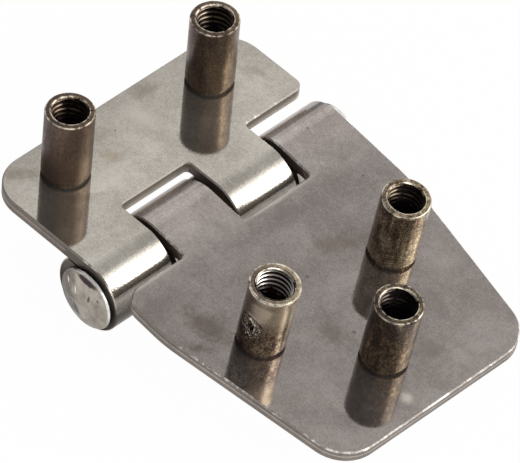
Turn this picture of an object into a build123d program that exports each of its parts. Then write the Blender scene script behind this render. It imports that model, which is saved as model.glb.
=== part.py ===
"""A stainless butt hinge with threaded mounting bosses.

Two stamped leaves of different length are rolled into two knuckles each and turn on one
headed pin.  Five turned bosses stand on the mounting faces, two on the short leaf and three
on the long one.

Frame: the origin is the middle of the short leaf's mounting face, Z points out of that face
along its bosses, Y runs along the pin and the long leaf lies towards +X.
"""
import os
from math import radians, tan

from build123d import *

# Sheet and pin
sheet = 2.5              # thickness of both leaves
pin_radius = 5.25
running_gap = 0.08       # between the pin and the long leaf's knuckles
edge_break = 0.25        # how far the blanked edge falls away on the mounting side
long_leaf_droop = 7.4    # degrees that the long leaf hangs below the short one, as it was found

# Leaves, measured from the pin axis
leaf_width = 62.4        # along the pin
short_leaf_reach = 28.6
long_leaf_reach = 60.2
face_centre = 18.0       # from the pin axis to the middle of the short leaf's mounting face
short_notch = 7.55       # notch edges, past which the other leaf's knuckles turn
long_notches = (7.9, 8.3)
notch_corner = 1.0
outer_corner = 8.0
short_near_notch_corner = 2.3
long_near_notch_corner = 4.0
taper_start = 19.5       # where the long leaf's sides begin to draw in
taper_angle = 10.0       # degrees
taper_bend = 32.0        # radius of the gentle corner where the sides start to draw in

# Knuckles along the pin, from the headed end
knuckle_length = 14.7
knuckle_gaps = (0.9, 1.6, 1.1)
seam_slope = 1.0         # how much the slit between the rolled end and its leaf opens towards the pin
knuckle_spread = (0, 0.35, 0, -0.7)   # how far each was pressed wide or narrow, out of round

# Pin head and riveted end
head_radius = 6.4
head_rim = 0.5
head_rise = 1.0
head_offset = (0.35, -0.35)   # how far the head was forged off the shank's axis
tail_radius = 6.2
tail_rim = 1.05
tail_rise = 0.8
tail_flat = 4.4          # radius of the hammered flat in the middle of the riveted end
end_play = 0.6           # between the outer knuckles and the two ends

# Bosses
boss_radius = 4.75
boss_height = 16.0       # from the mounting face to the mouth
neck_radius = 4.15
neck_height = 0.8
boss_edge = 0.35
thread_minor_radius = 3.323   # M8 x 1.25 internal thread, left as its drilled core
thread_length = 12.4
mouth_radius = 3.65
drill_point_angle = 118.0
short_bosses = ((-20.4, -18.2), (-20.4, 18.7))
long_bosses = ((30.2, -17.2), (30.2, 16.4), (46.8, -1.6))

# Damage on the headed-end boss of the long leaf: it was hammered at the mouth, which is spread
# into a lip, and it has a dent in its side wall, torn open at one spot
battered_height = 16.5
lip_radius = 5.0
lip_height = 2.2
dent_height = 8.0        # above the foot of the boss
dent_bearing = -97.0     # degrees around the boss, from +X towards +Y
dent_radius = 3.4        # of the bar that made it
dent_depth = 0.55
tear_height = 6.9
tear_bearing = -92.0
tear_radius = 0.9
tear_depth = 1.5

# Worked out
short_radius = pin_radius + sheet
long_bore = pin_radius + running_gap
long_radius = long_bore + sheet
half_width = leaf_width / 2
knuckle_starts = [-half_width]
for gap in knuckle_gaps:
    knuckle_starts.append(knuckle_starts[-1] + knuckle_length + gap)
to_frame = Location((face_centre, 0, -short_radius))
long_tilt = Location((0, 0, 0), (0, long_leaf_droop, 0))
ACROSS = Plane(origin=(0, 0, 0), x_dir=(1, 0, 0), z_dir=(0, -1, 0))
STANDING = (Align.CENTER, Align.CENTER, Align.MIN)


def knuckle_end(number):
    """The far end of a knuckle, counted from the headed end, starting at 0."""
    return knuckle_starts[number] + knuckle_length


def rolled_knuckle(number, bore, outer, side):
    """One knuckle, rolled over the pin away from a leaf on the given side (-1 or 1)."""
    reach = side * outer
    spread = knuckle_spread[number]
    rim = Ellipse(outer + spread, outer) if spread else Circle(outer)
    ring = rim - Circle(bore)
    slit = Polygon((0, bore - seam_slope), (reach, bore), (reach, outer), (0, outer), align=None)
    return extrude(ACROSS.offset(-knuckle_starts[number]) * (ring - slit), -knuckle_length)


def plate(outline, outer):
    """A leaf's flat sheet, with its mounting face tangent to the knuckles."""
    return Pos(0, 0, outer - sheet) * extrude(outline, sheet)


def box_outline(x_low, x_high, y_low, y_high):
    """A plain rectangle between two corners."""
    middle = Pos((x_low + x_high) / 2, (y_low + y_high) / 2)
    return middle * Rectangle(x_high - x_low, y_high - y_low)


def corners_at(sketch, points):
    """The sketch's vertices that lie at the given points."""
    return [v for v in sketch.vertices() if any(abs(v.X - x) + abs(v.Y - y) < 0.01 for x, y in points)]


def short_outline():
    """The short leaf: a rectangle with two notches on the pin side."""
    blank = box_outline(-short_leaf_reach, 0, -half_width, half_width)
    blank -= box_outline(-short_notch, 1, knuckle_end(0), knuckle_starts[2])
    blank -= box_outline(-short_notch, 1, knuckle_end(2), half_width + 1)
    inner = [(-short_notch, y) for y in (knuckle_end(0), knuckle_starts[2], knuckle_end(2))]
    outer = [(-short_leaf_reach, y) for y in (-half_width, half_width)]
    blank = fillet(corners_at(blank, inner), notch_corner)
    blank = fillet(corners_at(blank, outer), outer_corner)
    return fillet(corners_at(blank, [(-short_notch, half_width)]), short_near_notch_corner)


def long_outline():
    """The long leaf: straight beside the pin, then drawn in towards its outer end."""
    end_half = half_width - (long_leaf_reach - taper_start) * tan(radians(taper_angle))
    blank = Polygon((0, -half_width), (taper_start, -half_width), (long_leaf_reach, -end_half),
                    (long_leaf_reach, end_half), (taper_start, half_width), (0, half_width), align=None)
    near_notch, far_notch = long_notches
    blank -= box_outline(-1, near_notch, -half_width - 1, knuckle_starts[1])
    blank -= box_outline(-1, far_notch, knuckle_end(1), knuckle_starts[3])
    inner = [(near_notch, knuckle_starts[1]), (far_notch, knuckle_end(1)), (far_notch, knuckle_starts[3])]
    outer = [(long_leaf_reach, y) for y in (-end_half, end_half)]
    sides = [(taper_start, y) for y in (-half_width, half_width)]
    blank = fillet(corners_at(blank, inner), notch_corner)
    blank = fillet(corners_at(blank, outer), outer_corner)
    blank = fillet(corners_at(blank, sides), taper_bend)
    return fillet(corners_at(blank, [(near_notch, -half_width)]), long_near_notch_corner)


def leaf(outline, numbers, bore, outer, side):
    """A whole leaf: its flat sheet and the knuckles with the given numbers."""
    body = plate(outline, outer)
    for number in numbers:
        body += rolled_knuckle(number, bore, outer, side)
    return eased_rim(body, outer)


def eased_rim(body, outer):
    """Break the edge that runs round the mounting face."""
    top = [e for e in body.edges() if min(v.Z for v in e.vertices()) > outer - 0.01]
    rim = [e for e in top if not on_tangent_line(e)]
    return chamfer(rim, edge_break)


def on_tangent_line(edge):
    """True for the line where a knuckle leaves the flat sheet."""
    return all(abs(v.X) < 0.01 for v in edge.vertices())


def hinge_pin():
    """The pin: a shank with a domed head at one end and a riveted end at the other."""
    reach = half_width + end_play
    aside, up = head_offset
    shank = along_pin(Cylinder(pin_radius, 2 * reach))
    head = Pos(aside, -reach, up) * along_pin(Rot(180, 0, 0) * domed_head())
    tail = Pos(0, reach, 0) * along_pin(riveted_tail())
    return shank + head + tail


def along_pin(shape):
    """Turn a shape that was made along Z so that it lies along Y."""
    return Rot(-90, 0, 0) * shape


def domed_head():
    """The pin's head: a low dome on a short rim, standing on Z = 0."""
    crown = (0, head_rim + head_rise)
    ball_radius = (head_radius ** 2 + head_rise ** 2) / (2 * head_rise)
    dome = RadiusArc((head_radius, head_rim), crown, -ball_radius)
    sides = Polyline(crown, (0, 0), (head_radius, 0), (head_radius, head_rim))
    return revolve(Plane.XZ * make_face(Curve() + [dome, sides]), Axis.Z)


def riveted_tail():
    """The pin's other end: hammered over to a short rim, a bevel and a flat, standing on Z = 0."""
    bevel = Cone(tail_radius, tail_flat, tail_rise, align=STANDING)
    return Cylinder(tail_radius, tail_rim, align=STANDING) + Pos(0, 0, tail_rim) * bevel


def boss(height):
    """One threaded boss of the given height, standing on Z = 0 with its mouth upwards."""
    tip_length = thread_minor_radius / tan(radians(drill_point_angle / 2))
    mouth_depth = mouth_radius - thread_minor_radius
    thread_end = height - mouth_depth - thread_length
    profile = Polyline((0, 0), (neck_radius, 0), (neck_radius, neck_height),
                       (boss_radius, neck_height),
                       (boss_radius, height - boss_edge),
                       (boss_radius - boss_edge, height),
                       (mouth_radius, height),
                       (thread_minor_radius, height - mouth_depth),
                       (thread_minor_radius, thread_end),
                       (0, thread_end - tip_length), close=True)
    return revolve(Plane.XZ * make_face(profile), Axis.Z)


def damaged_boss():
    """The boss that took blows: a spread lip, and a dent across its wall with a small deep tear."""
    ring = Cone(boss_radius, lip_radius, lip_height, align=STANDING)
    ring -= Cylinder(mouth_radius, lip_height, align=STANDING)
    lip = Pos(0, 0, battered_height - lip_height) * ring
    bar = Rot(90, 0, 0) * Cylinder(dent_radius, 2 * boss_radius)
    dent = Rot(0, 0, dent_bearing) * Pos(boss_radius - dent_depth + dent_radius, 0, dent_height) * bar
    point = Rot(0, -90, 0) * Cone(tear_radius, 0, tear_depth, align=STANDING)
    tear = Rot(0, 0, tear_bearing) * Pos(boss_radius, 0, tear_height) * point
    return boss(battered_height) + lip - dent - tear


nodes = {
    "short_leaf": leaf(short_outline(), (0, 2), pin_radius, short_radius, -1),
    "hinge_pin": hinge_pin(),
}
for number, (x, y) in enumerate(short_bosses, 1):
    nodes[f"short_leaf_boss_{number}"] = Pos(x, y, short_radius) * boss(boss_height)
moving = {"long_leaf": leaf(long_outline(), (1, 3), long_bore, long_radius, 1)}
for number, (x, y) in enumerate(long_bosses, 1):
    solid = damaged_boss() if number == 1 else boss(boss_height)
    moving[f"long_leaf_boss_{number}"] = Pos(x, y, long_radius) * solid
for name, solid in moving.items():
    nodes[name] = long_tilt * solid

os.makedirs("parts", exist_ok=True)
for name, solid in nodes.items():
    export_step(to_frame * solid, f"parts/{name}.step")
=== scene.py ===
from math import atan2, cos, degrees, hypot, pi, radians, sin, sqrt

import bmesh
import bpy
from mathutils import Matrix, Vector, noise


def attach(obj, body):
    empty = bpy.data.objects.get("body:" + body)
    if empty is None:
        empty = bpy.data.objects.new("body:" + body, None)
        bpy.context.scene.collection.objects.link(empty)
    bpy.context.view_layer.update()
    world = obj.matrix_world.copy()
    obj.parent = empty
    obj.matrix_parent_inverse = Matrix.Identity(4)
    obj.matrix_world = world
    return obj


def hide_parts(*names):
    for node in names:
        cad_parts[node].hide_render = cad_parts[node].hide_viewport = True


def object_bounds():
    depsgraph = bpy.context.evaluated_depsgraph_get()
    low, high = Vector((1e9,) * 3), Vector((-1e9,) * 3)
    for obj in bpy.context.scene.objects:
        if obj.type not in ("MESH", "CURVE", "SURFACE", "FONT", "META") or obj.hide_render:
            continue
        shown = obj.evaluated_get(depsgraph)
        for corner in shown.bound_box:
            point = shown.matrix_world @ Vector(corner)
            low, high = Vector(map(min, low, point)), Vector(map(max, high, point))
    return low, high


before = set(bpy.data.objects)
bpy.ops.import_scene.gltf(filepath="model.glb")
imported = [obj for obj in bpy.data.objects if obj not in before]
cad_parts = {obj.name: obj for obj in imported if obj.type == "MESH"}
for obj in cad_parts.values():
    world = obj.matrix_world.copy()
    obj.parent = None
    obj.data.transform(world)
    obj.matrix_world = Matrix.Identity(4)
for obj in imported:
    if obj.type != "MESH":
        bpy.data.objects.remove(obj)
cad_low, cad_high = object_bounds()

# Short leaf: a stamped blank of 2.5 mm stainless sheet, with two knuckles rolled over the pin.
# The rolled faces keep a satin mill finish that still mirrors the bosses. The cut edges are
# duller and browner, with the lines that the punch leaves, and bright corners that are partly
# worn and partly painted highlights.
mm = 0.001
sheet = 2.5 * mm
barrel_radius = 7.75 * mm      # the outside of the short leaf's knuckles
pin_axis = Vector((18.0 * mm, 0.0, -barrel_radius))
leaf_half_width = 31.2 * mm    # along the pin
notch_reach = 8.6 * mm         # from the pin axis to just past the edges of the notches
knuckle_reach = 9.0 * mm       # from the pin axis to just past the outside of the knuckles
edge_break = 0.3 * mm          # how far down the broken top edge reaches
cut_waver = 0.5 * mm           # how far the bands on the cut sides waver up and down


def linear(code):
    """An sRGB hex colour as linear RGBA."""
    channels = [int(code[i:i + 2], 16) / 255 for i in (1, 3, 5)]
    return [c / 12.92 if c <= 0.04045 else ((c + 0.055) / 1.055) ** 2.4 for c in channels] + [1.0]


def add(tree, kind, settings, inputs):
    """Adds a node, sets its properties, and fills or links its inputs."""
    node = tree.nodes.new(kind)
    for name, value in settings.items():
        setattr(node, name, value)
    for name, value in inputs.items():
        if isinstance(value, bpy.types.NodeSocket):
            tree.links.new(value, node.inputs[name])
        else:
            node.inputs[name].default_value = value
    return node


def new_material(name):
    """An empty node material, with its shader and its output already joined."""
    material = bpy.data.materials.new(name)
    material.use_nodes = True
    tree = material.node_tree
    tree.nodes.clear()
    shader = add(tree, "ShaderNodeBsdfPrincipled", {}, {"Metallic": 1.0})
    add(tree, "ShaderNodeOutputMaterial", {}, {"Surface": shader.outputs["BSDF"]})
    return material, tree, shader


def rolled_steel(name, tilt, light, dark, shades, cut, cut_line, barrel_side, bright_from,
                 shade_share, stains):
    """Satin rolled stainless: faint stains, fine scratches, specks and dull browned cut edges.

    The tilt is the leaf's own turn about the pin. The shades are painted light: how bright the
    face is painted beside the barrel and at its outer end, and how far out that end lies. The
    barrel side, where a notch faces the barrel, has three colours from its lower edge up, which
    are painted light that the knuckles mirror, then a roughness and a metallic value. The broken
    edge is painted bright, partly as rubbed metal and partly as painted highlights, where the
    stains' noise is over bright_from.
    """
    material, tree, shader = new_material(name)
    coords = add(tree, "ShaderNodeTexCoord", {}, {})
    place = add(tree, "ShaderNodeMapping", {"vector_type": "TEXTURE"}, {
        "Vector": coords.outputs["Object"], "Location": pin_axis, "Rotation": (0.0, tilt, 0.0)})
    facing = add(tree, "ShaderNodeMapping", {"vector_type": "TEXTURE"}, {
        "Vector": coords.outputs["Normal"], "Rotation": (0.0, tilt, 0.0)})
    spot = place.outputs["Vector"]

    # The flat faces: cloudy stains about 9 mm across, over a grain of about 1 mm
    clouds = add(tree, "ShaderNodeTexNoise", {}, {
        "Vector": spot, "Scale": 1 / (9 * mm), "Detail": 6.0, "Roughness": 0.62, "Distortion": 0.4})
    grain = add(tree, "ShaderNodeTexNoise", {}, {
        "Vector": spot, "Scale": 1 / (0.9 * mm), "Detail": 3.0, "Roughness": 0.7})
    both = add(tree, "ShaderNodeMath", {"operation": "MULTIPLY_ADD"}, {
        0: grain.outputs["Fac"], 1: 0.5, 2: clouds.outputs["Fac"]})
    fine = add(tree, "ShaderNodeTexNoise", {}, {
        "Vector": spot, "Scale": 1 / (0.3 * mm), "Detail": 2.0})
    grained = add(tree, "ShaderNodeMath", {"operation": "MULTIPLY_ADD"}, {
        0: fine.outputs["Fac"], 1: 0.8, 2: both.outputs[0]})
    where = add(tree, "ShaderNodeSeparateXYZ", {}, {"Vector": spot})
    from_pin = add(tree, "ShaderNodeMath", {"operation": "ABSOLUTE"}, {0: where.outputs["X"]})
    # Painted light: the face is painted lighter or darker beside the barrel and towards its outer
    # end
    at_barrel, at_end, reach = shades
    outward = add(tree, "ShaderNodeMapRange", {}, {
        "Value": from_pin.outputs[0], "From Min": 0.45 * reach, "From Max": reach,
        "To Min": 1.0, "To Max": at_end})
    inward = add(tree, "ShaderNodeMapRange", {}, {
        "Value": from_pin.outputs[0], "From Min": 12 * mm, "From Max": 4 * mm,
        "To Min": 1.0, "To Max": at_barrel})
    shade = add(tree, "ShaderNodeMath", {"operation": "MULTIPLY"}, {
        0: outward.outputs["Result"], 1: inward.outputs["Result"]})
    amount = add(tree, "ShaderNodeMapRange", {}, {
        "Value": grained.outputs[0], "From Min": 0.95, "From Max": 1.37})
    even = add(tree, "ShaderNodeMix", {"data_type": "RGBA"}, {
        "Factor": amount.outputs["Result"], "A": linear(dark), "B": linear(light)})
    face = add(tree, "ShaderNodeVectorMath", {"operation": "SCALE"}, {
        0: even.outputs["Result"], "Scale": shade.outputs[0]})

    # Hairline scratches, drawn 0.15 mm wide so that they show, in two directions and in patches
    marks = []
    for turn, seed in ((0.5, 3.0), (-0.9, 11.0)):
        strokes = add(tree, "ShaderNodeMapping", {}, {
            "Vector": spot, "Location": (seed, seed, seed), "Rotation": (0.0, 0.0, turn),
            "Scale": (1 / (4 * mm), 1 / (0.35 * mm), 1 / (2 * mm))})
        lines = add(tree, "ShaderNodeTexNoise", {}, {
            "Vector": strokes.outputs["Vector"], "Scale": 1.0, "Detail": 1.0})
        marks.append(add(tree, "ShaderNodeMapRange", {}, {
            "Value": lines.outputs["Fac"], "From Min": 0.7, "From Max": 0.8}))
    patches = add(tree, "ShaderNodeTexNoise", {}, {
        "Vector": spot, "Scale": 1 / (13 * mm), "Detail": 2.0})
    patchy = add(tree, "ShaderNodeMapRange", {}, {
        "Value": patches.outputs["Fac"], "From Min": 0.45, "From Max": 0.65, "To Max": 0.22})
    by_barrel = add(tree, "ShaderNodeMapRange", {}, {
        "Value": from_pin.outputs[0], "From Min": 12 * mm, "From Max": 8.5 * mm, "To Max": 0.5})
    densest = add(tree, "ShaderNodeMath", {"operation": "MAXIMUM"}, {
        0: patchy.outputs["Result"], 1: by_barrel.outputs["Result"]})
    scratch = add(tree, "ShaderNodeMath", {"operation": "MAXIMUM"}, {
        0: marks[0].outputs["Result"], 1: marks[1].outputs["Result"]})
    scratched = add(tree, "ShaderNodeMath", {"operation": "MULTIPLY"}, {
        0: scratch.outputs[0], 1: densest.outputs[0]})
    hatched = add(tree, "ShaderNodeMix", {"data_type": "RGBA"}, {
        "Factor": scratched.outputs[0], "A": face.outputs["Vector"], "B": linear("#e6e0d8")})

    # Specks of dirt up to 0.7 mm across, in about three of every ten cells of 3.6 mm
    cells = add(tree, "ShaderNodeTexVoronoi", {}, {"Vector": spot, "Scale": 1 / (3.6 * mm)})
    chosen = add(tree, "ShaderNodeSeparateXYZ", {}, {"Vector": cells.outputs["Color"]})
    size = add(tree, "ShaderNodeMapRange", {}, {
        "Value": chosen.outputs["X"], "From Min": 0.7, "From Max": 1.0, "To Max": 0.1})
    dirt = add(tree, "ShaderNodeMath", {"operation": "LESS_THAN"}, {
        0: cells.outputs["Distance"], 1: size.outputs["Result"]})
    dirty = add(tree, "ShaderNodeMath", {"operation": "MULTIPLY"}, {0: dirt.outputs[0], 1: 0.5})
    flat = add(tree, "ShaderNodeMix", {"data_type": "RGBA"}, {
        "Factor": dirty.outputs[0], "A": hatched.outputs["Result"], "B": linear("#4c433d")})

    # Stains and deeper scratches with ragged borders: their place across and along the pin in mm,
    # a turn in degrees, two half sizes in mm, a tone and a strength. They are only 1 mm deep, so
    # that they don't show on the back of the sheet.
    for across, along, turn, length, width, tone, strength in stains:
        ellipse = add(tree, "ShaderNodeMapping", {"vector_type": "TEXTURE"}, {
            "Vector": spot, "Location": (across * mm, along * mm, barrel_radius),
            "Rotation": (0.0, 0.0, radians(turn)), "Scale": (length * mm, width * mm, 1 * mm)})
        far = add(tree, "ShaderNodeVectorMath", {"operation": "LENGTH"}, {
            0: ellipse.outputs["Vector"]})
        torn = add(tree, "ShaderNodeMath", {"operation": "MULTIPLY_ADD"}, {
            0: both.outputs[0], 1: 2.4, 2: far.outputs["Value"]})
        inside = add(tree, "ShaderNodeMapRange", {"interpolation_type": "SMOOTHSTEP"}, {
            "Value": torn.outputs[0], "From Min": 3.4, "From Max": 2.1, "To Max": strength})
        flat = add(tree, "ShaderNodeMix", {"data_type": "RGBA"}, {
            "Factor": inside.outputs["Result"], "A": flat.outputs["Result"], "B": linear(tone)})

    # Where a surface lies: on a cut side of the sheet, on the end of a knuckle or on a broken edge
    normal = add(tree, "ShaderNodeSeparateXYZ", {}, {"Vector": facing.outputs["Vector"]})
    upright = add(tree, "ShaderNodeMath", {"operation": "ABSOLUTE"}, {0: normal.outputs["Z"]})
    steep = add(tree, "ShaderNodeMapRange", {}, {
        "Value": upright.outputs[0], "From Min": 0.3, "From Max": 0.15})
    in_sheet = add(tree, "ShaderNodeMapRange", {}, {
        "Value": where.outputs["Z"], "From Min": barrel_radius - sheet - 0.3 * mm,
        "From Max": barrel_radius - sheet - 0.1 * mm})
    across = add(tree, "ShaderNodeMath", {"operation": "ABSOLUTE"}, {0: normal.outputs["Y"]})
    end_face = add(tree, "ShaderNodeMapRange", {}, {
        "Value": across.outputs[0], "From Min": 0.85, "From Max": 0.95})
    radial = add(tree, "ShaderNodeVectorMath", {"operation": "MULTIPLY"}, {
        0: spot, 1: (1.0, 0.0, 1.0)})
    distance = add(tree, "ShaderNodeVectorMath", {"operation": "LENGTH"}, {
        0: radial.outputs["Vector"]})
    side_face = add(tree, "ShaderNodeMath", {"operation": "MULTIPLY"}, {
        0: steep.outputs["Result"], 1: in_sheet.outputs["Result"]})
    is_cut = add(tree, "ShaderNodeMath", {"operation": "MAXIMUM"}, {
        0: side_face.outputs[0], 1: end_face.outputs["Result"]})
    near_top = add(tree, "ShaderNodeMapRange", {}, {
        "Value": where.outputs["Z"], "From Min": barrel_radius - edge_break - 0.15 * mm,
        "From Max": barrel_radius - edge_break})
    leaning = add(tree, "ShaderNodeMapRange", {}, {
        "Value": upright.outputs[0], "From Min": 0.97, "From Max": 0.9})
    is_edge = add(tree, "ShaderNodeMath", {"operation": "MULTIPLY"}, {
        0: near_top.outputs["Result"], 1: leaning.outputs["Result"]})

    # The cut: dark under the top edge and brown below, with a paler line halfway down, where the
    # punch broke through
    ragged = add(tree, "ShaderNodeMath", {"operation": "MULTIPLY_ADD"}, {
        0: grain.outputs["Fac"], 1: cut_waver, 2: where.outputs["Z"]})
    depth = add(tree, "ShaderNodeMapRange", {}, {
        "Value": ragged.outputs[0], "From Min": barrel_radius + cut_waver / 2,
        "From Max": barrel_radius - sheet + cut_waver / 2})
    bands = add(tree, "ShaderNodeValToRGB", {}, {"Fac": depth.outputs["Result"]})
    stops = ((0.0, "#4a4139"), (0.16, "#4a4139"), (0.26, cut), (0.42, cut), (0.5, cut_line),
             (0.58, cut), (0.85, cut), (1.0, "#8f8880"))
    for at, code in stops[2:]:
        bands.color_ramp.elements.new(at)
    for element, (at, code) in zip(bands.color_ramp.elements, stops):
        element.position = at
        element.color = linear(code)
    blotches = add(tree, "ShaderNodeMapRange", {}, {
        "Value": clouds.outputs["Fac"], "From Min": 0.3, "From Max": 0.7,
        "To Min": 0.75, "To Max": 1.2})
    stained = add(tree, "ShaderNodeVectorMath", {"operation": "SCALE"}, {
        0: bands.outputs["Color"], "Scale": blotches.outputs["Result"]})
    body = add(tree, "ShaderNodeMix", {"data_type": "RGBA"}, {
        "Factor": is_cut.outputs[0], "A": flat.outputs["Result"], "B": stained.outputs["Vector"]})

    # The ends of the knuckles are painted dark, partly as old grease and partly as painted shade in
    # the narrow gaps and round the pin's ends. The notch sides that face the barrel have their own
    # colours, painted light that the knuckles mirror: the short leaf's are pale low down, and the
    # long leaf's are pale at the top.
    near_pin = add(tree, "ShaderNodeMapRange", {}, {
        "Value": distance.outputs["Value"], "From Min": knuckle_reach + 0.5 * mm,
        "From Max": knuckle_reach})
    greasy_and_shaded = add(tree, "ShaderNodeMath", {"operation": "MULTIPLY"}, {
        0: end_face.outputs["Result"], 1: near_pin.outputs["Result"]})
    along = add(tree, "ShaderNodeMath", {"operation": "ABSOLUTE"}, {0: where.outputs["Y"]})
    outermost = add(tree, "ShaderNodeMapRange", {}, {
        "Value": along.outputs[0], "From Min": leaf_half_width - 0.3 * mm,
        "From Max": leaf_half_width - 0.1 * mm})
    end_grease_and_shade = add(tree, "ShaderNodeMix", {"data_type": "RGBA"}, {
        "Factor": outermost.outputs["Result"], "A": linear("#74665f"), "B": linear("#6f675f")})
    greased_and_shaded = add(tree, "ShaderNodeMix", {"data_type": "RGBA"}, {
        "Factor": greasy_and_shaded.outputs[0], "A": body.outputs["Result"],
        "B": end_grease_and_shade.outputs["Result"]})
    # Painted light: the notch sides facing the barrel are painted in three tones up their height,
    # for the light the knuckles mirror from them
    notch_side_height = add(tree, "ShaderNodeMapRange", {}, {
        "Value": where.outputs["Z"], "From Min": barrel_radius - 2.3 * mm,
        "From Max": barrel_radius - 0.4 * mm})
    in_notch = add(tree, "ShaderNodeMapRange", {}, {
        "Value": from_pin.outputs[0], "From Min": notch_reach + 0.2 * mm,
        "From Max": notch_reach})
    facing_barrel = add(tree, "ShaderNodeMath", {"operation": "MULTIPLY"}, {
        0: side_face.outputs[0], 1: in_notch.outputs["Result"]})
    not_end = add(tree, "ShaderNodeMath", {"operation": "SUBTRACT", "use_clamp": True}, {
        0: facing_barrel.outputs[0], 1: end_face.outputs["Result"]})
    notch_side_light = add(tree, "ShaderNodeValToRGB", {}, {"Fac": notch_side_height.outputs["Result"]})
    notch_side_light.color_ramp.elements.new(0.5)
    for element, code in zip(notch_side_light.color_ramp.elements, barrel_side[:3]):
        element.color = linear(code)
    worked = add(tree, "ShaderNodeMix", {"data_type": "RGBA"}, {
        "Factor": not_end.outputs[0], "A": greased_and_shaded.outputs["Result"],
        "B": notch_side_light.outputs["Color"]})

    # Painted shade: the short leaf's knuckles are painted dark underneath and where they meet the
    # other leaf
    low = add(tree, "ShaderNodeMath", {"operation": "MULTIPLY_ADD"}, {
        0: both.outputs[0], 1: 5 * mm, 2: where.outputs["Z"]})
    under = add(tree, "ShaderNodeMapRange", {}, {
        "Value": low.outputs[0], "From Min": 7.8 * mm, "From Max": 3.6 * mm})
    beside = add(tree, "ShaderNodeMapRange", {}, {
        "Value": where.outputs["X"], "From Min": 6.0 * mm, "From Max": 6.9 * mm, "To Max": 0.3})
    shaded_places = add(tree, "ShaderNodeMath", {"operation": "MAXIMUM"}, {
        0: under.outputs["Result"], 1: beside.outputs["Result"]})
    darkening = add(tree, "ShaderNodeMath", {"operation": "MULTIPLY"}, {
        0: shaded_places.outputs[0], 1: shade_share})
    shaded_knuckles = add(tree, "ShaderNodeMix", {"data_type": "RGBA"}, {
        "Factor": darkening.outputs[0], "A": worked.outputs["Result"], "B": linear("#443c36")})

    # The broken edge is dull, and painted bright here and there, partly as rubbed metal and partly
    # as painted highlights
    dull_edge = add(tree, "ShaderNodeMix", {"data_type": "RGBA"}, {
        "Factor": is_edge.outputs[0], "A": shaded_knuckles.outputs["Result"], "B": linear("#9a9188")})
    highlit = add(tree, "ShaderNodeMapRange", {}, {
        "Value": both.outputs[0], "From Min": bright_from, "From Max": bright_from + 0.14})
    bright = add(tree, "ShaderNodeMath", {"operation": "MULTIPLY"}, {
        0: is_edge.outputs[0], 1: highlit.outputs["Result"]})
    colour = add(tree, "ShaderNodeMix", {"data_type": "RGBA"}, {
        "Factor": bright.outputs[0], "A": dull_edge.outputs["Result"], "B": linear("#f8f4ee")})
    gloss = add(tree, "ShaderNodeMapRange", {}, {
        "Value": both.outputs[0], "From Min": 0.5, "From Max": 1.0, "To Min": 0.07, "To Max": 0.03})
    rolled = add(tree, "ShaderNodeMapRange", {}, {
        "Value": upright.outputs[0], "From Min": 0.995, "From Max": 0.97})
    on_barrel = add(tree, "ShaderNodeMix", {"data_type": "FLOAT"}, {
        "Factor": rolled.outputs["Result"], "A": gloss.outputs["Result"], "B": 0.15})
    dull = add(tree, "ShaderNodeMix", {"data_type": "FLOAT"}, {
        "Factor": is_cut.outputs[0], "A": on_barrel.outputs["Result"], "B": 0.5})
    polished = add(tree, "ShaderNodeMix", {"data_type": "FLOAT"}, {
        "Factor": not_end.outputs[0], "A": dull.outputs["Result"], "B": barrel_side[3]})
    rough = add(tree, "ShaderNodeMix", {"data_type": "FLOAT"}, {
        "Factor": is_edge.outputs[0], "A": polished.outputs["Result"], "B": 0.45})
    tree.links.new(colour.outputs["Result"], shader.inputs["Base Color"])
    tree.links.new(rough.outputs["Result"], shader.inputs["Roughness"])
    notch_metal = add(tree, "ShaderNodeMix", {"data_type": "FLOAT"}, {
        "Factor": not_end.outputs[0], "A": 0.9, "B": barrel_side[4]})
    metal = add(tree, "ShaderNodeMix", {"data_type": "FLOAT"}, {
        "Factor": is_edge.outputs[0], "A": notch_metal.outputs["Result"], "B": 0.3})
    tree.links.new(metal.outputs["Result"], shader.inputs["Metallic"])

    # The rolled barrel and the cuts are more uneven than the flat faces
    uneven = add(tree, "ShaderNodeMapRange", {}, {
        "Value": rolled.outputs["Result"], "To Min": 0.03, "To Max": 0.2})
    bump = add(tree, "ShaderNodeBump", {}, {
        "Strength": uneven.outputs["Result"], "Distance": 0.1 * mm, "Height": fine.outputs["Fac"]})
    tree.links.new(bump.outputs["Normal"], shader.inputs["Normal"])
    return material


def dress(node, material):
    """Gives a CAD node its finish."""
    node.data.materials.clear()
    node.data.materials.append(material)


short_leaf_stains = (
    (-25.8, 7.6, 80, 3.2, 1.3, "#8c8070", 0.5), (-17.6, -9.6, 20, 2.0, 1.2, "#a09378", 0.5),
    (-23.6, -7.8, 60, 2.6, 1.6, "#988d7f", 0.4), (-25.6, -25.5, 50, 3.2, 1.3, "#7b7164", 0.5),
    (-16.5, 26.0, 30, 3.0, 1.2, "#958b7e", 0.4), (-21.5, 2.0, 15, 3.6, 1.8, "#d2ccc2", 0.35),
    (-13.5, -20.5, 70, 2.4, 1.0, "#958c80", 0.4))
dress(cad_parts["short_leaf"], rolled_steel(
    "satin_rolled_stainless_short", tilt=0.0, light="#cbc5bb", dark="#aaa399",
    shades=(0.95, 0.8, 28 * mm), cut="#8a7d76", cut_line="#b9b2aa",
    barrel_side=("#ddd5ca", "#9a9287", "#6f675d", 0.4, 0.4), bright_from=0.86, shade_share=0.88,
    stains=short_leaf_stains))

# Hinge pin: a turned stainless pin with a low domed head, forged a little off its axis. The
# other end was hammered over once the leaves were on. The dome is worn, with small dents.
shank_end = 31.8 * mm
head_radius = 6.4 * mm
head_rim = 0.5 * mm
head_rise = 1.0 * mm
head_rounding = 0.5 * mm       # from the dome to the side of the rim
head_aside = 0.35 * mm
pin_radius = 5.25 * mm
tail_radius = 6.2 * mm
tail_rim = 1.05 * mm
tail_rise = 0.8 * mm
tail_flat = 4.4 * mm
dome_rings = 24
fine_steps = 144               # round a shape that gets small dents
merge_reach = 0.002 * mm       # points that are closer than this are one


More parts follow.
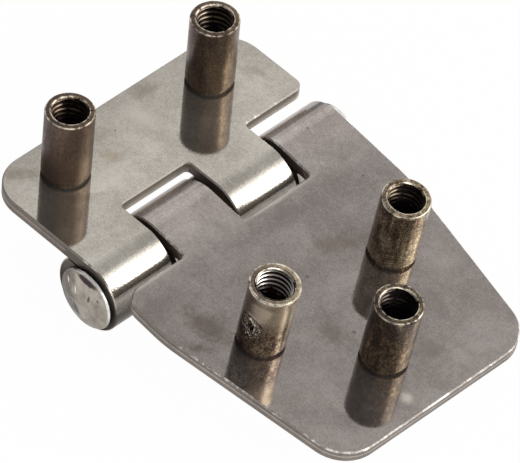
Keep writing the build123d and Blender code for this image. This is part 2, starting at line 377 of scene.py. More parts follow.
def spun(points, steps):
    """A bmesh with a profile of (radius, height) points spun round Z."""
    bm = bmesh.new()
    verts = [bm.verts.new((r, 0.0, z)) for r, z in points]
    edges = [bm.edges.new(pair) for pair in zip(verts, verts[1:])]
    bmesh.ops.spin(bm, geom=verts + edges, cent=(0, 0, 0), axis=(0, 0, 1), dvec=(0, 0, 0),
                   angle=2 * pi, steps=steps, use_merge=True, use_normal_flip=False,
                   use_duplicate=False)
    bmesh.ops.remove_doubles(bm, verts=bm.verts, dist=merge_reach)
    return bm


def finished(bm, name, place, materials, body):
    """Turns a bmesh into a piece at its place, with its finish and body."""
    bmesh.ops.recalc_face_normals(bm, faces=bm.faces)
    bmesh.ops.transform(bm, matrix=place, verts=bm.verts)
    for face in bm.faces:
        face.smooth = True
    for edge in bm.edges:
        edge.smooth = edge.calc_face_angle(0.0) < radians(30)
    mesh = bpy.data.meshes.new(name)
    bm.to_mesh(mesh)
    bm.free()
    piece = bpy.data.objects.new(name, mesh)
    bpy.context.scene.collection.objects.link(piece)
    for material in materials:
        mesh.materials.append(material)
    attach(piece, body)
    return piece


head_face = -shank_end - head_rim
tail_face = shank_end + tail_rim + tail_rise
crown_radius = head_radius - head_rounding
ball = (crown_radius ** 2 + head_rise ** 2) / (2 * head_rise)
profile = []
for i in range(dome_rings + 1):
    r = crown_radius * i / dome_rings
    profile.append((r, head_face - head_rise + ball - sqrt(ball ** 2 - r ** 2)))
profile += [
    (head_radius - 0.32 * mm, head_face + 0.05 * mm),
    (head_radius - 0.18 * mm, head_face + 0.13 * mm),
    (head_radius - 0.08 * mm, head_face + 0.25 * mm),
    (head_radius, head_face + 0.42 * mm),
    (head_radius, -shank_end - 0.1 * mm),
    (head_radius - 0.1 * mm, -shank_end),
    (pin_radius, -shank_end),
    (pin_radius, shank_end),
    (tail_radius - 0.1 * mm, shank_end),
    (tail_radius, shank_end + 0.1 * mm),
    (tail_radius, shank_end + tail_rim - 0.15 * mm),
    (tail_radius - 0.1 * mm, shank_end + tail_rim + 0.02 * mm),
    (tail_flat + 0.25 * mm, tail_face - 0.12 * mm),
    (tail_flat - 0.15 * mm, tail_face),
    (0.0, tail_face)]
bm = spun(profile, fine_steps)

# The head only: soft hammered lumps on its dome, and dents, given as the reach from the axis in
# mm, a bearing in degrees, and a half width and a depth in mm
dents = ((3.9, 118, 1.0, 0.16), (4.4, 75, 0.9, 0.18), (3.1, 150, 0.7, 0.1), (4.6, 215, 0.8, 0.12),
         (1.6, 30, 0.9, 0.1), (4.9, 320, 1.0, 0.1), (3.3, 270, 0.9, 0.08))
for vert in bm.verts:
    if vert.co.z > 0.02 * mm - shank_end:
        continue
    if vert.co.z < head_face + 0.02 * mm:
        lumps = noise.noise(vert.co / (2.2 * mm)) + 0.5 * noise.noise(vert.co / (0.9 * mm))
        vert.co.z += 0.035 * mm * (1 + lumps)
        for reach, bearing, width, sink in dents:
            centre = Vector((reach * cos(radians(bearing)), reach * sin(radians(bearing)))) * mm
            away = (vert.co.xy - centre).length / (width * mm)
            if away < 1:
                vert.co.z += sink * mm * (1 - away ** 2) ** 2
    vert.co.x += head_aside
    vert.co.y += head_aside

material, tree, shader = new_material("worn_turned_stainless")
coords = add(tree, "ShaderNodeTexCoord", {}, {})
clouds = add(tree, "ShaderNodeTexNoise", {}, {
    "Vector": coords.outputs["Object"], "Scale": 1 / (3 * mm), "Detail": 5.0, "Roughness": 0.6})
amount = add(tree, "ShaderNodeMapRange", {}, {
    "Value": clouds.outputs["Fac"], "From Min": 0.3, "From Max": 0.6})
colour = add(tree, "ShaderNodeMix", {"data_type": "RGBA"}, {
    "Factor": amount.outputs["Result"], "A": linear("#8f867e"), "B": linear("#c0b8ac")})

# Marks on the dome: painted shade on its left side, a dark painted reflection beside the rim, two
# painted glints and three dark dents. Each has its place across and up from the head's axis in mm,
# a turn in degrees, two half sizes in mm, a tone and a strength.
head_marks = (
    (-6.4, -1.5, -80, 9.0, 6.0, "#6a6159", 0.75), (0.1, 5.1, -4, 3.4, 0.75, "#3a2c33", 0.95),
    (-4.2, 2.3, -60, 0.8, 0.24, "#f6f2ea", 0.9), (-1.8, 1.7, -80, 1.1, 0.3, "#f6f2ea", 0.9),
    (-1.4, -2.9, -65, 2.0, 0.9, "#453d37", 0.9), (1.7, 1.9, -95, 1.2, 0.4, "#50473f", 0.85),
    (3.6, 2.6, -40, 0.4, 0.18, "#3a332e", 0.9))
for across, up, turn, length, width, tone, strength in head_marks:
    ellipse = add(tree, "ShaderNodeMapping", {"vector_type": "TEXTURE"}, {
        "Vector": coords.outputs["Object"],
        "Location": pin_axis + Vector((across * mm + head_aside, -shank_end, up * mm - head_aside)),
        "Rotation": (0.0, -radians(turn), 0.0), "Scale": (length * mm, 4 * mm, width * mm)})
    ragged = add(tree, "ShaderNodeVectorMath", {"operation": "LENGTH"}, {
        0: ellipse.outputs["Vector"]})
    frayed = add(tree, "ShaderNodeMath", {"operation": "ADD"}, {
        0: ragged.outputs["Value"], 1: clouds.outputs["Fac"]})
    inside = add(tree, "ShaderNodeMapRange", {}, {
        "Value": frayed.outputs[0], "From Min": 1.5, "From Max": 1.1, "To Max": strength})
    colour = add(tree, "ShaderNodeMix", {"data_type": "RGBA"}, {
        "Factor": inside.outputs["Result"], "A": colour.outputs["Result"], "B": linear(tone)})

# Painted highlight: the upper right of the head's rim is painted near white, as a bright line of
# light
highlight_toward = (0.64, 0.0, 0.77)
from_head = add(tree, "ShaderNodeVectorMath", {"operation": "SUBTRACT"}, {
    0: coords.outputs["Object"], 1: pin_axis + Vector((head_aside, 0.0, -head_aside))})
flat = add(tree, "ShaderNodeVectorMath", {"operation": "MULTIPLY"}, {
    0: from_head.outputs["Vector"], 1: (1.0, 0.0, 1.0)})
reach = add(tree, "ShaderNodeVectorMath", {"operation": "LENGTH"}, {0: flat.outputs["Vector"]})
upper_right = add(tree, "ShaderNodeVectorMath", {"operation": "DOT_PRODUCT"}, {
    0: from_head.outputs["Vector"], 1: highlight_toward})
at_rim = add(tree, "ShaderNodeMapRange", {}, {
    "Value": reach.outputs["Value"], "From Min": 6.0 * mm, "From Max": 6.15 * mm})
on_side = add(tree, "ShaderNodeMapRange", {}, {
    "Value": upper_right.outputs["Value"], "From Min": 2.0 * mm, "From Max": 4.5 * mm})
broken = add(tree, "ShaderNodeMapRange", {}, {
    "Value": clouds.outputs["Fac"], "From Min": 0.4, "From Max": 0.55, "To Min": 0.7})
highlit = add(tree, "ShaderNodeMath", {"operation": "MULTIPLY"}, {
    0: on_side.outputs["Result"], 1: broken.outputs["Result"]})
rim = add(tree, "ShaderNodeMath", {"operation": "MULTIPLY"}, {
    0: at_rim.outputs["Result"], 1: highlit.outputs[0]})
colour = add(tree, "ShaderNodeMix", {"data_type": "RGBA"}, {
    "Factor": rim.outputs[0], "A": colour.outputs["Result"], "B": linear("#fffdf8")})
metal = add(tree, "ShaderNodeMix", {"data_type": "FLOAT"}, {
    "Factor": rim.outputs[0], "A": 1.0, "B": 0.25})
tree.links.new(metal.outputs["Result"], shader.inputs["Metallic"])
tree.links.new(colour.outputs["Result"], shader.inputs["Base Color"])
gloss = add(tree, "ShaderNodeMapRange", {}, {
    "Value": clouds.outputs["Fac"], "From Min": 0.35, "From Max": 0.65,
    "To Min": 0.24, "To Max": 0.12})
tree.links.new(gloss.outputs["Result"], shader.inputs["Roughness"])
along_pin = Matrix.Translation(pin_axis) @ Matrix.Rotation(-pi / 2, 4, "X")
pin = finished(bm, "domed_hinge_pin", along_pin, [material], "short_side")
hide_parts("hinge_pin")

# Bosses: turned stainless bars, drilled and tapped M8, and welded by a narrow neck. The weld's
# heat left them purple-brown, mottled with gold. Two stand on the short leaf, three on the long.
boss_radius = 4.75 * mm
boss_height = 16.0 * mm
neck_radius = 4.15 * mm
neck_height = 0.8 * mm
mouth_radius = 3.65 * mm
thread_core = 3.323 * mm
thread_crest = 3.85 * mm
pitch = 1.25 * mm
thread_turns = 10
boss_edge = 0.3 * mm
wall_levels = 44               # rings up the wall, enough for the dent
plain_steps = 72               # round the bore and the undamaged walls
photo_right = (0.69, 0.72, 0.0)

# The battered boss: its mouth is spread into a lip, and one blow on its wall left a dent under an
# arched ridge, with a torn hole. Bearings are degrees round the boss, from +X towards +Y.
battered_height = 16.5 * mm
lip_height = 2.2 * mm
lip_spread = 0.25 * mm
ridge_height = 10.3 * mm
ridge_arch = 0.22 / mm
dent_height = 5.0 * mm         # from the ridge down
dent_bearing = -90
dent_half_angle = 32
dent_depth = 0.5 * mm
tear_height = 7.1 * mm
tear_bearing = -88
tear_radius = 0.85 * mm
tear_depth = 1.3 * mm
tear_place = (0.15 * mm, -4.3 * mm, tear_height)


def threaded_bore(height):
    """The tapped hole: one thread profile, turned and raised into a helix and cut off level."""
    bm = bmesh.new()
    flat = 0.16 * mm           # the level land on the crest and in the groove
    flank = (pitch - 2 * flat) / 2
    points = [(thread_core, 0.0), (thread_core, flat),
              (thread_core + 0.08 * mm, flat + 0.04 * mm),
              (thread_crest, flat + flank), (thread_crest, 2 * flat + flank - 0.08 * mm),
              (thread_core + 0.08 * mm, pitch - 0.04 * mm), (thread_core, pitch)]
    turns = thread_turns + 1
    steps = plain_steps * turns
    start = height - thread_turns * pitch
    verts = [bm.verts.new((r, 0.0, start - pitch + z)) for r, z in points]
    edges = [bm.edges.new(pair) for pair in zip(verts, verts[1:])]
    bmesh.ops.spin(bm, geom=verts + edges, cent=(0, 0, 0), axis=(0, 0, 1),
                   dvec=(0, 0, pitch * turns / steps), angle=2 * pi * turns, steps=steps,
                   use_merge=False, use_normal_flip=False, use_duplicate=False)
    bmesh.ops.remove_doubles(bm, verts=bm.verts, dist=merge_reach)
    for level, above in ((height, True), (start, False)):
        bmesh.ops.bisect_plane(bm, geom=bm.verts[:] + bm.edges[:] + bm.faces[:], dist=0.001 * mm,
                               plane_co=(0, 0, level), plane_no=(0, 0, 1),
                               clear_outer=above, clear_inner=not above)
    for vert in bm.verts:
        reach = hypot(vert.co.x, vert.co.y)
        mouth = mouth_radius - (height - vert.co.z)
        if mouth > thread_core:
            settled = min(max(reach, mouth), mouth + 0.06 * mm)
            vert.co.x *= settled / reach
            vert.co.y *= settled / reach
    return bm


def boss_mesh(seed, height, battered):
    """A whole boss standing on Z = 0, with its bore in the second material."""
    bottom = height - thread_turns * pitch
    span = height - boss_edge - neck_height - 0.12 * mm
    wall = [(neck_radius, 0.0), (neck_radius, neck_height), (boss_radius - 0.12 * mm, neck_height)]
    wall += [(boss_radius, neck_height + 0.12 * mm + span * i / wall_levels)
             for i in range(wall_levels + 1)]
    wall += [(boss_radius - 0.1 * mm, height - 0.1 * mm), (boss_radius - boss_edge, height),
             (mouth_radius, height)]
    bm = spun(wall, fine_steps if battered else plain_steps)
    for vert in bm.verts:
        reach = hypot(vert.co.x, vert.co.y)
        if battered and vert.co.z > height - lip_height and reach > mouth_radius:
            spread = (vert.co.z - height + lip_height) / lip_height * lip_spread / boss_radius
            vert.co.x *= 1 + spread
            vert.co.y *= 1 + spread
        if vert.co.z > height - 0.05 * mm:
            chip = max(0.0, noise.noise(vert.co / (0.7 * mm) + Vector((seed, 0, 0))) - 0.15)
            vert.co.z -= chip * 0.25 * mm
        if battered and reach > boss_radius - 0.01 * mm and vert.co.z < height - 3 * mm:
            bearing = degrees(atan2(vert.co.y, vert.co.x))
            ridge = ridge_height - ridge_arch * vert.co.x ** 2
            below = (ridge - vert.co.z) / dent_height
            aside = (bearing - dent_bearing) / dent_half_angle
            rough = 1 + 0.35 * noise.noise(vert.co / (0.9 * mm))
            push = 0.0
            if 0 < below < 1 and abs(aside) < 1:
                deep = min(1, below / 0.07) * (1 - below) ** 0.7
                push = dent_depth * deep * (1 - aside ** 2) * rough
            elif -0.12 < below <= 0 and abs(aside) < 0.9:
                push = -0.08 * mm * (1 - aside ** 2) * rough
            around = (bearing - tear_bearing) * boss_radius * pi / 180
            hole = hypot(around, vert.co.z - tear_height)
            push += max(0.0, 1 - hole / tear_radius) * tear_depth
            vert.co.x *= 1 - push / reach
            vert.co.y *= 1 - push / reach
    cup = spun([(0.0, bottom - 1.5 * mm), (thread_core - 0.2 * mm, bottom),
                (thread_crest, bottom)], plain_steps)
    for part in (threaded_bore(height), cup):
        mesh = bpy.data.meshes.new("part")
        part.to_mesh(mesh)
        part.free()
        before = len(bm.faces)
        bm.from_mesh(mesh)
        bm.faces.ensure_lookup_table()
        for face in bm.faces[before:]:
            if face.calc_center_median().z < height - (mouth_radius - thread_core):
                face.material_index = 1
        bpy.data.meshes.remove(mesh)
    bmesh.ops.remove_doubles(bm, verts=bm.verts, dist=2 * merge_reach)
    return bm


def heat_tinted_steel(name, place, top, battered, dull, dark, mid, light):
    """Stainless browned by the heat of welding: mottled, a little lighter towards its foot.

    The battered boss is also painted silvery above the blow, as a painted reflection, and shows the
    blow's own marks, with painted shade and painted glints. Across every boss the tint is painted
    from purple to gold, as painted light.
    """
    material, tree, shader = new_material(name)
    coords = add(tree, "ShaderNodeTexCoord", {}, {})
    local = add(tree, "ShaderNodeMapping", {"vector_type": "TEXTURE"}, {
        "Vector": coords.outputs["Object"], "Location": place.to_translation(),
        "Rotation": place.to_euler()})
    spot = local.outputs["Vector"]
    own = add(tree, "ShaderNodeVectorMath", {"operation": "ADD"}, {
        0: spot, 1: place.to_translation() * 7})
    height = add(tree, "ShaderNodeSeparateXYZ", {}, {"Vector": spot})
    clouds = add(tree, "ShaderNodeTexNoise", {}, {
        "Vector": own.outputs["Vector"], "Scale": 1 / (2.6 * mm), "Detail": 6.0, "Roughness": 0.7,
        "Distortion": 0.5})
    drawn = add(tree, "ShaderNodeMapping", {}, {
        "Vector": own.outputs["Vector"], "Scale": (1 / (1.1 * mm), 1 / (1.1 * mm), 1 / (8 * mm))})
    streaks = add(tree, "ShaderNodeTexNoise", {}, {
        "Vector": drawn.outputs["Vector"], "Scale": 1.0, "Detail": 3.0})
    grit = add(tree, "ShaderNodeTexNoise", {}, {
        "Vector": own.outputs["Vector"], "Scale": 1 / (0.35 * mm), "Detail": 2.0})
    cloudy = add(tree, "ShaderNodeMath", {"operation": "MULTIPLY_ADD"}, {
        0: streaks.outputs["Fac"], 1: 0.7, 2: clouds.outputs["Fac"]})
    gritty = add(tree, "ShaderNodeMath", {"operation": "MULTIPLY_ADD"}, {
        0: grit.outputs["Fac"], 1: 1.1, 2: cloudy.outputs[0]})
    foot = add(tree, "ShaderNodeMapRange", {}, {
        "Value": height.outputs["Z"], "From Min": 13 * mm, "From Max": 1 * mm, "To Max": 0.14})
    tint = add(tree, "ShaderNodeMath", {"operation": "ADD"}, {
        0: gritty.outputs[0], 1: foot.outputs["Result"]})
    spread = add(tree, "ShaderNodeMapRange", {}, {
        "Value": tint.outputs[0], "From Min": 1.15, "From Max": 1.8})
    mottled = add(tree, "ShaderNodeValToRGB", {}, {"Fac": spread.outputs["Result"]})
    mottled.color_ramp.elements.new(0.5)
    for element, code in zip(mottled.color_ramp.elements, (dark, mid, light)):
        element.color = linear(code)
    # Painted reflection: the battered boss is painted silvery above the blow, for the pale floor
    # its wall mirrors there
    edge = add(tree, "ShaderNodeMath", {"operation": "MULTIPLY_ADD"}, {
        0: clouds.outputs["Fac"], 1: 4 * mm, 2: height.outputs["Z"]})
    painted_silver = add(tree, "ShaderNodeMapRange", {}, {
        "Value": edge.outputs[0], "From Min": 9.0 * mm, "From Max": 12.5 * mm,
        "To Max": 0.8 if battered else 0.0})
    below_mouth = add(tree, "ShaderNodeMapRange", {}, {
        "Value": height.outputs["Z"], "From Min": top - 0.2 * mm, "From Max": top - 0.35 * mm,
        "To Min": 0.6})
    silver = add(tree, "ShaderNodeMath", {"operation": "MULTIPLY"}, {
        0: painted_silver.outputs["Result"], 1: below_mouth.outputs["Result"]})
    browned = add(tree, "ShaderNodeMix", {"data_type": "RGBA"}, {
        "Factor": silver.outputs[0], "A": mottled.outputs["Color"], "B": linear("#d4cbb8")})

    # Painted light: the tint runs from a darker purple on the left, as the camera sees it, to a
    # brighter gold on the right, where the wall catches the window reflected in the leaf
    side = add(tree, "ShaderNodeVectorMath", {"operation": "DOT_PRODUCT"}, {
        0: spot, 1: photo_right})
    lit_side = add(tree, "ShaderNodeMapRange", {}, {
        "Value": side.outputs["Value"], "From Min": -3.5 * mm, "From Max": 3.5 * mm})
    painted_side_light = add(tree, "ShaderNodeMix", {"data_type": "RGBA"}, {
        "Factor": lit_side.outputs["Result"], "A": linear("#aea2a1" if battered else "#dccfd2"),
        "B": linear("#f8f1e2")})
    side_lit = add(tree, "ShaderNodeVectorMath", {"operation": "MULTIPLY"}, {
        0: browned.outputs["Result"], 1: painted_side_light.outputs["Result"]})

    # The blow on the battered boss: painted shade darkens its ridge and blackens its tear, and
    # painted glints fleck the crumpled metal round the tear
    squared = add(tree, "ShaderNodeMath", {"operation": "MULTIPLY"}, {
        0: height.outputs["X"], 1: height.outputs["X"]})
    arched = add(tree, "ShaderNodeMath", {"operation": "MULTIPLY_ADD"}, {
        0: squared.outputs[0], 1: ridge_arch, 2: height.outputs["Z"]})
    wavering = add(tree, "ShaderNodeMath", {"operation": "MULTIPLY_ADD"}, {
        0: clouds.outputs["Fac"], 1: 1.2 * mm, 2: arched.outputs[0]})
    off_ridge = add(tree, "ShaderNodeMath", {"operation": "SUBTRACT"}, {
        0: wavering.outputs[0], 1: ridge_height + 0.6 * mm})
    how_far = add(tree, "ShaderNodeMath", {"operation": "ABSOLUTE"}, {0: off_ridge.outputs[0]})
    on_ridge = add(tree, "ShaderNodeMapRange", {}, {
        "Value": how_far.outputs[0], "From Min": 0.3 * mm, "From Max": 0.12 * mm, "To Max": 0.85})
    in_front = add(tree, "ShaderNodeMapRange", {}, {
        "Value": height.outputs["Y"], "From Min": -3.8 * mm, "From Max": -4.1 * mm})
    ridge_shade = add(tree, "ShaderNodeMath", {"operation": "MULTIPLY"}, {
        0: on_ridge.outputs["Result"], 1: in_front.outputs["Result"]})
    to_tear = add(tree, "ShaderNodeVectorMath", {"operation": "DISTANCE"}, {
        0: spot, 1: tear_place})
    torn = add(tree, "ShaderNodeMapRange", {}, {
        "Value": to_tear.outputs["Value"], "From Min": 0.9 * mm, "From Max": 0.65 * mm})
    dent_shade = add(tree, "ShaderNodeMath", {"operation": "MAXIMUM"}, {
        0: ridge_shade.outputs[0], 1: torn.outputs["Result"]})
    shown = add(tree, "ShaderNodeMath", {"operation": "MULTIPLY"}, {
        0: dent_shade.outputs[0], 1: 1.0 if battered else 0.0})
    crumpled = add(tree, "ShaderNodeMapRange", {}, {
        "Value": to_tear.outputs["Value"], "From Min": 2.9 * mm, "From Max": 1.9 * mm,
        "To Max": 0.85 if battered else 0.0})
    glints = add(tree, "ShaderNodeMapRange", {}, {
        "Value": grit.outputs["Fac"], "From Min": 0.55, "From Max": 0.62})
    flecks = add(tree, "ShaderNodeMath", {"operation": "MULTIPLY"}, {
        0: crumpled.outputs["Result"], 1: glints.outputs["Result"]})
    flecked = add(tree, "ShaderNodeMix", {"data_type": "RGBA"}, {
        "Factor": flecks.outputs[0], "A": side_lit.outputs["Vector"], "B": linear("#f4ecdc")})
    dent_shaded = add(tree, "ShaderNodeMix", {"data_type": "RGBA"}, {
        "Factor": shown.outputs[0], "A": flecked.outputs["Result"], "B": linear("#0c0a09")})

    # The corners round the mouth are painted bright in places, partly as rubbed metal and partly as
    # painted highlights
    radial = add(tree, "ShaderNodeVectorMath", {"operation": "MULTIPLY"}, {
        0: spot, 1: (1.0, 1.0, 0.0)})
    reach = add(tree, "ShaderNodeVectorMath", {"operation": "LENGTH"}, {
        0: radial.outputs["Vector"]})
    at_top = add(tree, "ShaderNodeMapRange", {}, {
        "Value": height.outputs["Z"], "From Min": top - 0.3 * mm, "From Max": top - 0.15 * mm})
    at_rim = add(tree, "ShaderNodeMapRange", {}, {
        "Value": reach.outputs["Value"], "From Min": boss_radius - 0.3 * mm,
        "From Max": boss_radius - 0.2 * mm})
    at_mouth = add(tree, "ShaderNodeMapRange", {}, {
        "Value": reach.outputs["Value"], "From Min": mouth_radius + 0.2 * mm,
        "From Max": mouth_radius + 0.1 * mm})
    either = add(tree, "ShaderNodeMath", {"operation": "MAXIMUM"}, {
        0: at_rim.outputs["Result"], 1: at_mouth.outputs["Result"]})
    at_corner = add(tree, "ShaderNodeMath", {"operation": "MULTIPLY"}, {
        0: at_top.outputs["Result"], 1: either.outputs[0]})
    frayed = add(tree, "ShaderNodeMapRange", {}, {
        "Value": cloudy.outputs[0], "From Min": 0.72, "From Max": 0.95})
    highlit = add(tree, "ShaderNodeMath", {"operation": "MULTIPLY"}, {
        0: at_corner.outputs[0], 1: frayed.outputs["Result"]})
    colour = add(tree, "ShaderNodeMix", {"data_type": "RGBA"}, {
        "Factor": highlit.outputs[0], "A": dent_shaded.outputs["Result"], "B": linear("#f0e6d2")})
    tree.links.new(colour.outputs["Result"], shader.inputs["Base Color"])
    gloss = add(tree, "ShaderNodeMapRange", {}, {
        "Value": cloudy.outputs[0], "From Min": 0.55, "From Max": 1.1,
        "To Min": dull, "To Max": 0.6 * dull})
    tree.links.new(gloss.outputs["Result"], shader.inputs["Roughness"])
    bump = add(tree, "ShaderNodeBump", {}, {
        "Strength": 0.4, "Distance": 0.04 * mm, "Height": gritty.outputs[0]})
    tree.links.new(bump.outputs["Normal"], shader.inputs["Normal"])
    shader.inputs["Metallic"].default_value = 0.75 if battered else 0.85
    return material


def tapped_steel(name, place, top, smear_and_side_shade, deep, crest, groove):
    """The cut thread: rubbed on its crests, and dark in its grooves, partly with old oil and partly
    as painted shade. It is painted black further down and darker on the right, as painted shade.

    The smear_and_side_shade is how much oil smears the crests and how dark the painted shade on the
    right is, and deep is how far below the top the thread is painted fully black.
    """
    material, tree, shader = new_material(name)
    coords = add(tree, "ShaderNodeTexCoord", {}, {})
    local = add(tree, "ShaderNodeMapping", {"vector_type": "TEXTURE"}, {
        "Vector": coords.outputs["Object"], "Location": place.to_translation(),
        "Rotation": place.to_euler()})
    height = add(tree, "ShaderNodeSeparateXYZ", {}, {"Vector": local.outputs["Vector"]})
    radial = add(tree, "ShaderNodeVectorMath", {"operation": "MULTIPLY"}, {
        0: local.outputs["Vector"], 1: (1.0, 1.0, 0.0)})
    reach = add(tree, "ShaderNodeVectorMath", {"operation": "LENGTH"}, {
        0: radial.outputs["Vector"]})
    darkening = add(tree, "ShaderNodeTexNoise", {}, {
        "Vector": local.outputs["Vector"], "Scale": 1 / (1.5 * mm), "Detail": 4.0})
    # Painted shade: the grooves, the deeper thread and its right side are painted dark
    in_groove = add(tree, "ShaderNodeMapRange", {}, {
        "Value": reach.outputs["Value"], "From Min": thread_core + 0.05 * mm,
        "From Max": thread_core + 0.25 * mm})
    ragged = add(tree, "ShaderNodeMath", {"operation": "MULTIPLY_ADD"}, {
        0: darkening.outputs["Fac"], 1: 4 * mm, 2: height.outputs["Z"]})
    depth = add(tree, "ShaderNodeMapRange", {}, {
        "Value": ragged.outputs[0], "From Min": top + 1 * mm, "From Max": top - deep})
    smeared = add(tree, "ShaderNodeMapRange", {}, {
        "Value": darkening.outputs["Fac"], "From Min": 0.62, "From Max": 0.46, "To Max": smear_and_side_shade})
    groove_and_depth_shade = add(tree, "ShaderNodeMath", {"operation": "MAXIMUM"}, {
        0: in_groove.outputs["Result"], 1: depth.outputs["Result"]})
    right = add(tree, "ShaderNodeVectorMath", {"operation": "DOT_PRODUCT"}, {
        0: local.outputs["Vector"], 1: photo_right})
    right_side_shade = add(tree, "ShaderNodeMapRange", {}, {
        "Value": right.outputs["Value"], "From Min": 0.8 * mm, "From Max": 2.0 * mm,
        "To Max": smear_and_side_shade})
    smear_and_right_shade = add(tree, "ShaderNodeMath", {"operation": "MAXIMUM"}, {
        0: smeared.outputs["Result"], 1: right_side_shade.outputs["Result"]})
    oil_and_shade = add(tree, "ShaderNodeMath", {"operation": "MAXIMUM"}, {
        0: groove_and_depth_shade.outputs[0], 1: smear_and_right_shade.outputs[0]})
    colour = add(tree, "ShaderNodeMix", {"data_type": "RGBA"}, {
        "Factor": oil_and_shade.outputs[0], "A": linear(crest), "B": linear(groove)})
    tree.links.new(colour.outputs["Result"], shader.inputs["Base Color"])
    shader.inputs["Roughness"].default_value = 0.22
    return material


def boss(name, place, body, seed, wall_finish, bore_finish):
    """One finished boss: its wall has a roughness and three tones, and its bore has its oil smears
    and the strength of its painted side shade, the depth of its clean thread above the painted
    black, and the colours of its crests and its grooves."""
    battered = name == "long_leaf_boss_1"
    height = battered_height if battered else boss_height
    wall = heat_tinted_steel("heat_tinted_stainless_" + name, place, height, battered, *wall_finish)
    bore = tapped_steel("tapped_stainless_" + name, place, height, *bore_finish)
    bm = boss_mesh(seed, height, battered)
    piece = finished(bm, name + "_body", place, [wall, bore], body)
    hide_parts(name)


boss("short_leaf_boss_1", Matrix.Translation((-2.4 * mm, -18.2 * mm, 0.0)), "short_side", 1,
     (0.5, "#5a4b44", "#6d5f54", "#807060"), (0.95, 3 * mm, "#8d7861", "#171211"))
boss("short_leaf_boss_2", Matrix.Translation((-2.4 * mm, 18.7 * mm, 0.0)), "short_side", 2,
     (0.38, "#54453e", "#75685b", "#94866f"), (0.8, 4 * mm, "#a1907a", "#181312"))

# Long leaf: the same sheet, longer and tapered, hanging a few degrees below the short leaf.
# It is a little darker than the short one, and its edges are painted bright, partly as wear
# and partly as painted highlights.
droop = radians(7.4)
long_face = 7.83 * mm          # from the pin axis up to the long leaf's mounting face
long_leaf_stains = (
    (22.0, -23.1, 25, 4.6, 2.4, "#6c6054", 0.6), (24.5, -28.4, 40, 2.4, 1.0, "#5c5248", 0.5),
    (37.5, -6.1, 10, 2.2, 1.6, "#7a6e62", 0.45), (21.9, 7.6, 65, 4.6, 1.8, "#807465", 0.45),
    (50.5, 6.0, 40, 4.0, 1.8, "#857c76", 0.4), (38.3, 23.0, 70, 3.4, 1.6, "#bdb6ac", 0.35),
    (8.6, 7.8, 90, 7.6, 0.5, "#dcd5cb", 0.7), (8.2, -23.0, 90, 6.6, 0.5, "#dcd5cb", 0.7),
    (56.3, -4.7, 0, 1.1, 1.05, "#ddd5c8", 0.9), (56.0, -13.0, -12, 0.9, 0.12, "#e2ddd4", 0.8),
    (57.0, -12.0, 30, 0.7, 0.12, "#e2ddd4", 0.8))
dress(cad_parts["long_leaf"], rolled_steel(
    "satin_rolled_stainless_long", tilt=droop, light="#afa6a1", dark="#8e8580",
    shades=(1.35, 1.15, 60 * mm), cut="#90867f", cut_line="#cfc8c0",
    barrel_side=("#4a423b", "#8f877c", "#b5ada2", 0.4, 0.4), bright_from=0.77, shade_share=0.0,
    stains=long_leaf_stains))


def on_long_leaf(across, along):
    """A place on the long leaf's mounting face, in mm from the pin axis and from its middle."""
    hung = Matrix.Translation(pin_axis) @ Matrix.Rotation(droop, 4, "Y")
    return hung @ Matrix.Translation((across * mm, along * mm, long_face))


boss("long_leaf_boss_1", on_long_leaf(30.2, -17.2), "long_side", 3,
     (0.3, "#432f2a", "#756357", "#dccfb4"), (0.3, 4.5 * mm, "#fbf6ee", "#1c100d"))
boss("long_leaf_boss_2", on_long_leaf(30.2, 16.4), "long_side", 4,
     (0.22, "#483b36", "#a1947b", "#fff8db"), (0.9, 3.5 * mm, "#8a7a66", "#131010"))
boss("long_leaf_boss_3", on_long_leaf(46.8, -1.6), "long_side", 5,
     (0.32, "#3e3432", "#695e50", "#bfb08f"), (0.95, 3 * mm, "#62564d", "#120e0f"))

# Floor: a plain white ground far larger than the hinge. The camera sees it white, with a faint
# shadow left, and the steel mirrors it a little less bright.
bm = bmesh.new()
bmesh.ops.create_grid(bm, x_segments=1, y_segments=1, size=8.0,
                      matrix=Matrix.Translation((0, 0, cad_low[2])))
mesh = bpy.data.meshes.new("floor")
bm.to_mesh(mesh)
bm.free()
floor = bpy.data.objects.new("floor", mesh)
bpy.context.scene.collection.objects.link(floor)
material = bpy.data.materials.new("white_ground")
material.use_nodes = True
tree = material.node_tree
tree.nodes.clear()
rays = add(tree, "ShaderNodeLightPath", {}, {})
matt = add(tree, "ShaderNodeBsdfDiffuse", {}, {"Color": linear("#f2f2f2")})
glow = add(tree, "ShaderNodeEmission", {}, {"Color": (1, 1, 1, 1), "Strength": 1.0})
seen = add(tree, "ShaderNodeMath", {"operation": "MULTIPLY"}, {
    0: rays.outputs["Is Camera Ray"], 1: 0.98})
mirrored = add(tree, "ShaderNodeMath", {"operation": "MULTIPLY_ADD"}, {
    0: rays.outputs["Is Glossy Ray"], 1: 0.5, 2: seen.outputs[0]})
shown = add(tree, "ShaderNodeMixShader", {}, {
    0: mirrored.outputs[0], 1: matt.outputs["BSDF"], 2: glow.outputs["Emission"]})
add(tree, "ShaderNodeOutputMaterial", {}, {"Surface": shown.outputs["Shader"]})
mesh.materials.append(material)

# Room: a soft studio, brighter behind the hinge and dim behind the camera. A large soft window on
# the right draws the white band along the rolled knuckles, and a smaller, lower one stands in
# front of it. The room is white wherever the camera sees past the floor.
world = bpy.data.worlds.new("soft_room")
bpy.context.scene.world = world
world.use_nodes = True
tree = world.node_tree
tree.nodes.clear()
coords = add(tree, "ShaderNodeTexCoord", {}, {})
toward = add(tree, "ShaderNodeSeparateXYZ", {}, {"Vector": coords.outputs["Generated"]})


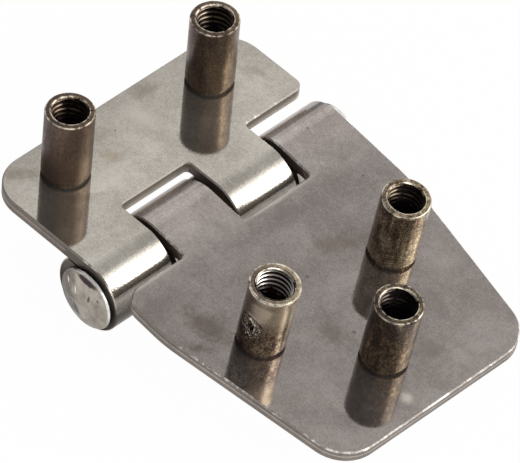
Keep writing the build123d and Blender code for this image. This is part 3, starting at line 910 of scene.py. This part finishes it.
def fade(axis, start, end, low, high):
    """A soft step of the room's light, from one value to another along an axis of direction."""
    return add(tree, "ShaderNodeMapRange", {"interpolation_type": "SMOOTHSTEP"}, {
        "Value": toward.outputs[axis], "From Min": start, "From Max": end,
        "To Min": low, "To Max": high}).outputs["Result"]


def times(first, second):
    """The product of two parts of the room's light."""
    return add(tree, "ShaderNodeMath", {"operation": "MULTIPLY"}, {0: first, 1: second}).outputs[0]


room = times(times(fade("Y", -0.3, 0.5, 0.25, 0.95), fade("Z", 0.22, 0.42, 0.3, 1.0)),
             fade("Z", 0.7, 0.9, 1.0, 0.55))
window = times(times(fade("X", 0.08, 0.6, 0.0, 3.2), fade("Y", 0.1, 0.35, 0.0, 1.0)),
               times(fade("Z", -0.02, 0.2, 0.0, 1.0), fade("Z", 0.85, 0.98, 1.0, 0.0)))
front = times(times(fade("X", 0.3, 0.5, 0.0, 2.5), fade("Y", 0.1, -0.1, 0.0, 1.0)),
              times(fade("Z", 0.0, 0.15, 0.0, 1.0), fade("Z", 0.5, 0.65, 1.0, 0.0)))
windows = add(tree, "ShaderNodeMath", {"operation": "ADD"}, {0: window, 1: front})
level = add(tree, "ShaderNodeMath", {"operation": "ADD"}, {0: room, 1: windows.outputs[0]})
rays = add(tree, "ShaderNodeLightPath", {}, {})
strength = add(tree, "ShaderNodeMix", {"data_type": "FLOAT"}, {
    "Factor": rays.outputs["Is Camera Ray"], "A": level.outputs[0], "B": 1.0})
background = add(tree, "ShaderNodeBackground", {}, {
    "Color": (1, 1, 1, 1), "Strength": strength.outputs["Result"]})
add(tree, "ShaderNodeOutputWorld", {}, {"Surface": background.outputs["Background"]})

# Camera: where the photograph was taken from, above and in front of the headed end.
camera = bpy.data.cameras.new("camera")
camera.sensor_width = 36.0
camera.lens = 527.0
camera.clip_end = 50.0
camera_object = bpy.data.objects.new("camera", camera)
camera_object.location = Vector((672.751, -718.739, 1017.041)) * mm
camera_object.rotation_euler = (radians(43.2555), radians(-3.944), radians(45.954))
bpy.context.scene.collection.objects.link(camera_object)
bpy.context.scene.camera = camera_object
bpy.context.scene.view_settings.view_transform = "Standard"
